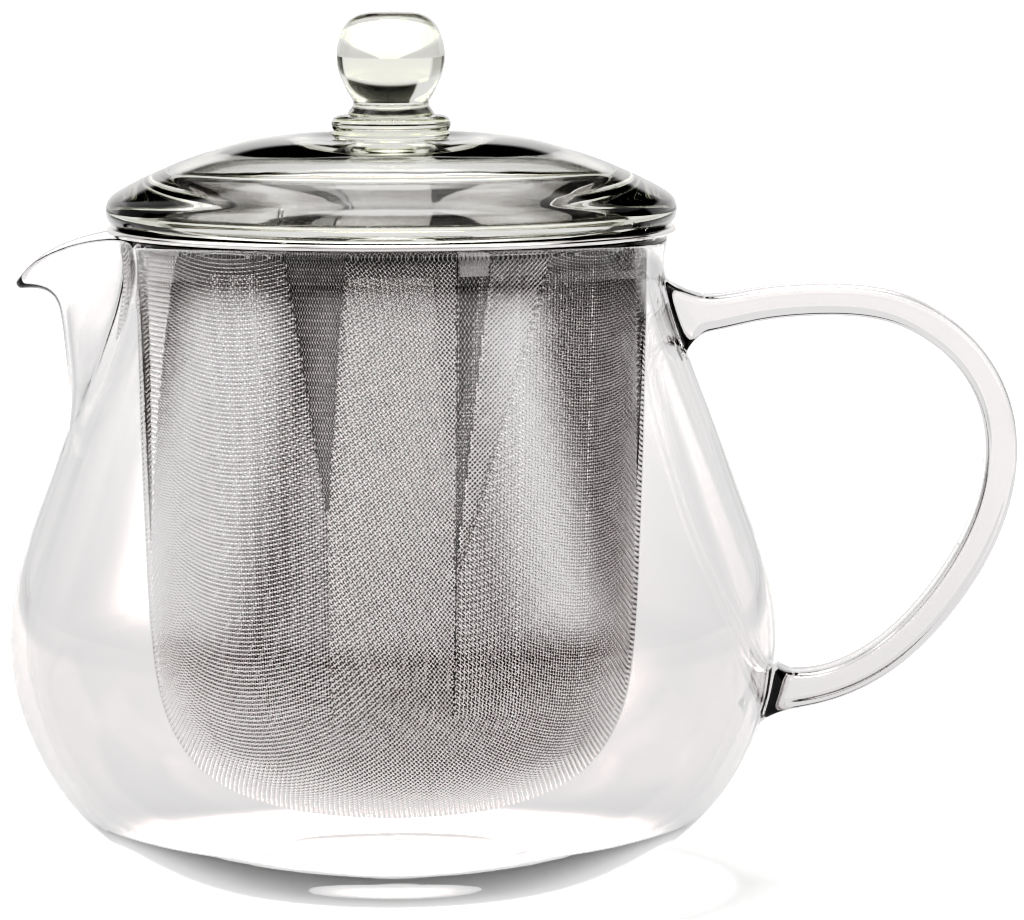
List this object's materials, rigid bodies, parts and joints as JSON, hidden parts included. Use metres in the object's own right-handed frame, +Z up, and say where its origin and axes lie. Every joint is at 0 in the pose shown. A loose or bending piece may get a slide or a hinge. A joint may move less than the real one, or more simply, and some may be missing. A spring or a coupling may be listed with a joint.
{
  "type": "teapot",
  "caption": "Clear glass teapot with a pulled lip spout, a glass strap handle, a domed glass lid with a round knob, and a lift-out woven steel strainer cup.",
  "frame": {"origin": "centre of the flat foot, on the table the pot stands on", "axes": "+Z up along the pot's axis, +X from the axis towards the handle, the spout points along -X"},
  "size_m": [0.1711, 0.1302, 0.1489],
  "materials": {
    "pot_glass": "clear, fire-polished borosilicate",
    "handle_glass": "clear, fire-polished",
    "ring_steel": "polished stainless steel",
    "band_steel": "satin stainless steel",
    "mesh_steel": "bright woven stainless wire",
    "lid_glass": "clear, fire-polished",
    "collar_glass": "clear, fused",
    "knob_glass": "clear, fire-polished"
  },
  "bodies": {
    "pot": {"pot_body": "pot_glass", "handle": "handle_glass"},
    "strainer": {"strainer_ring": "ring_steel", "strainer_band": "band_steel", "strainer_mesh": "mesh_steel"},
    "lid": {"lid_shell": "lid_glass", "knob_collar": "collar_glass", "knob": "knob_glass"}
  },
  "joints": [
    {"name": "strainer_lift", "type": "slide", "parent": "pot", "child": "strainer", "axis": [0, 0, 1], "range_m": [0, 0.12]},
    {"name": "lid_lift", "type": "slide", "parent": "strainer", "child": "lid", "axis": [0, 0, 1], "range_m": [0, 0.05]}
  ]
}
